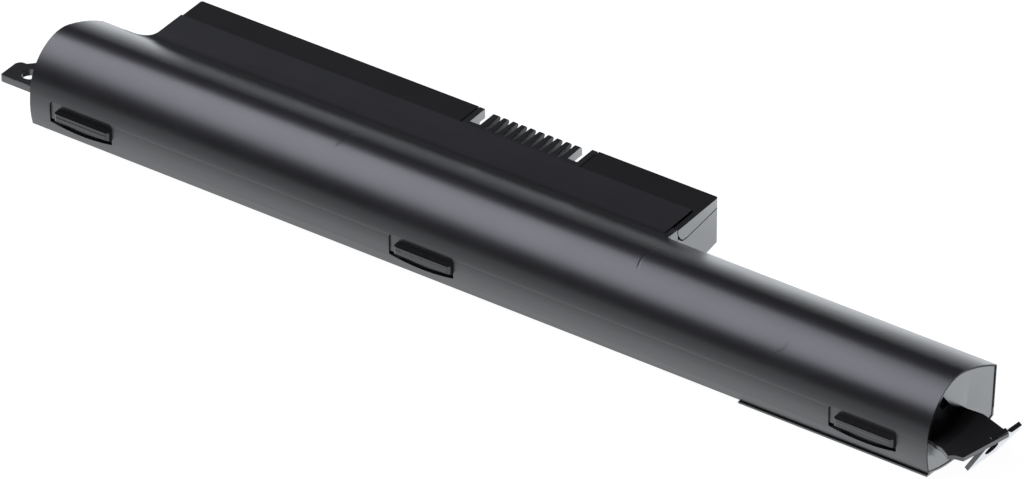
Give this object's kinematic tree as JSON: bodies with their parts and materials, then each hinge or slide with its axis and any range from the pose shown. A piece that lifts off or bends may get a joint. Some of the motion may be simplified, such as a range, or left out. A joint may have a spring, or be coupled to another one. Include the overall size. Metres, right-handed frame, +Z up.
{
  "type": "laptop battery",
  "caption": "Long laptop battery with a rounded cell barrel, a flat back tongue with a comb connector, rubber feet, a holed screw tab and a bent end bracket.",
  "frame": {"origin": "bottom centre of the whole battery's bounding box, at rest height", "axes": "+X along the barrel towards the bent bracket, +Y from the barrel's front with its feet to the tongue's back edge with the connector, +Z up"},
  "size_m": [0.2944, 0.0558, 0.0248],
  "materials": {
    "case_plastic": "finely textured satin black",
    "comb_plastic": "smooth satin black",
    "bracket_metal": "glossy black coat",
    "foot_rubber": "dull black",
    "board_laminate": "green lacquer",
    "chip_resin": "matte black resin",
    "fuse_body": "pale ceramic",
    "nickel": "bright plated strip",
    "contact_metal": "bright plated blade",
    "cell_wrap": "shrunk plastic sleeve",
    "paper": "dull fibre paper",
    "foam": "soft dark foam"
  },
  "bodies": {
    "root": {"upper_housing": "case_plastic", "lower_housing": "case_plastic", "tongue_lid_left": "case_plastic", "tongue_lid_right": "case_plastic", "connector_housing": "comb_plastic", "left_bracket": "bracket_metal", "right_bracket": "bracket_metal", "foot_left": "foot_rubber", "foot_middle": "foot_rubber", "foot_right": "foot_rubber", "circuit_board": "board_laminate", "gauge_chip": "chip_resin", "switch_chip_a": "chip_resin", "switch_chip_b": "chip_resin", "safety_fuse": "fuse_body", "shunt_resistor": "nickel", "capacitors": "fuse_body", "thermistor": "chip_resin", "end_pad_left": "foam", "end_pad_right": "foam", "link_strip_1": "nickel", "bus_strip_1": "nickel", "link_strip_2": "nickel", "bus_strip_2": "nickel", "link_strip_3": "nickel", "bus_strip_3": "nickel", "link_strip_4": "nickel", "bus_strip_4": "nickel", "link_strip_5": "nickel", "bus_strip_5": "nickel", "cell_1": "cell_wrap", "insulator_ring_1": "paper", "insulator_strip_1": "paper", "cell_2": "cell_wrap", "insulator_ring_2": "paper", "insulator_strip_2": "paper", "cell_3": "cell_wrap", "insulator_ring_3": "paper", "insulator_strip_3": "paper", "cell_4": "cell_wrap", "insulator_ring_4": "paper", "insulator_strip_4": "paper", "contact_1": "contact_metal", "contact_2": "contact_metal", "contact_3": "contact_metal", "contact_4": "contact_metal", "contact_5": "contact_metal", "contact_6": "contact_metal", "contact_7": "contact_metal", "contact_8": "contact_metal", "contact_9": "contact_metal"}
  },
  "joints": []
}
